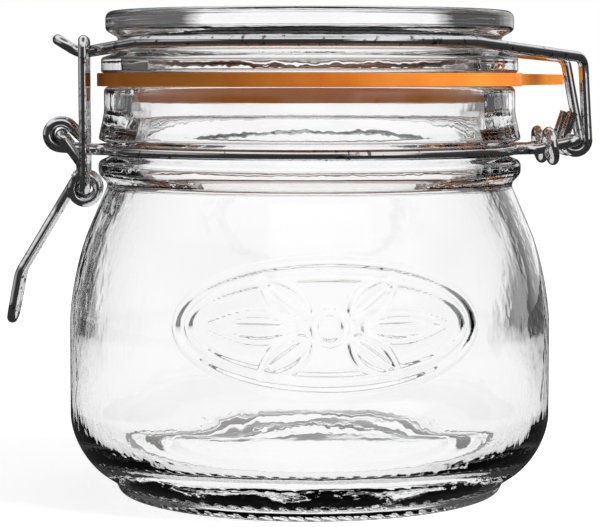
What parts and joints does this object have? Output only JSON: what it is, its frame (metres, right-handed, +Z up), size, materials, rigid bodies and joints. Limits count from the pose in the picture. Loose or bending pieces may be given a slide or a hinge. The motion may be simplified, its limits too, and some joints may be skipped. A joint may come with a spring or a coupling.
{
  "type": "clip-top glass jar",
  "caption": "Squat round glass storage jar, empty, with a glass lid on a rubber gasket, hinged by a wire bail and clamped shut by a wire lever and link.",
  "frame": {"origin": "where the jar's axis meets the surface it stands on", "axes": "+Z up along the jar's axis, +X towards the lid's hinge, -X towards the latch, -Y is the front"},
  "size_m": [0.1283, 0.1056, 0.105],
  "materials": {
    "jar_glass": "clear",
    "lid_glass": "clear",
    "gasket_rubber": "matte",
    "wire": "polished"
  },
  "bodies": {
    "jar": {"jar": "jar_glass", "neck_band": "wire", "hinge_ring_near": "wire", "hinge_ring_far": "wire"},
    "lid": {"lid": "lid_glass", "gasket": "gasket_rubber", "bail": "wire"},
    "lever": {"lever": "wire"},
    "link": {"link": "wire"}
  },
  "joints": [
    {"name": "lid_hinge", "type": "hinge", "parent": "jar", "child": "lid", "pos_m": [0.0584, 0, 0.0769], "axis": [0, 1, 0], "range_deg": [0, 170]},
    {"name": "lever_pivot", "type": "hinge", "parent": "jar", "child": "lever", "pos_m": [-0.0543, 0, 0.0783], "axis": [0, 1, 0], "range_deg": [0, 105]},
    {"name": "link_swing", "type": "hinge", "parent": "lever", "child": "link", "pos_m": [-0.04913, 0, 0.0666], "axis": [0, 1, 0], "range_deg": [-132, 0]}
  ],
  "couplings": [
    {"joint": "lever_pivot", "follows": "lid_hinge", "ratio": 0.6},
    {"joint": "link_swing", "follows": "lid_hinge", "ratio": -0.76}
  ]
}
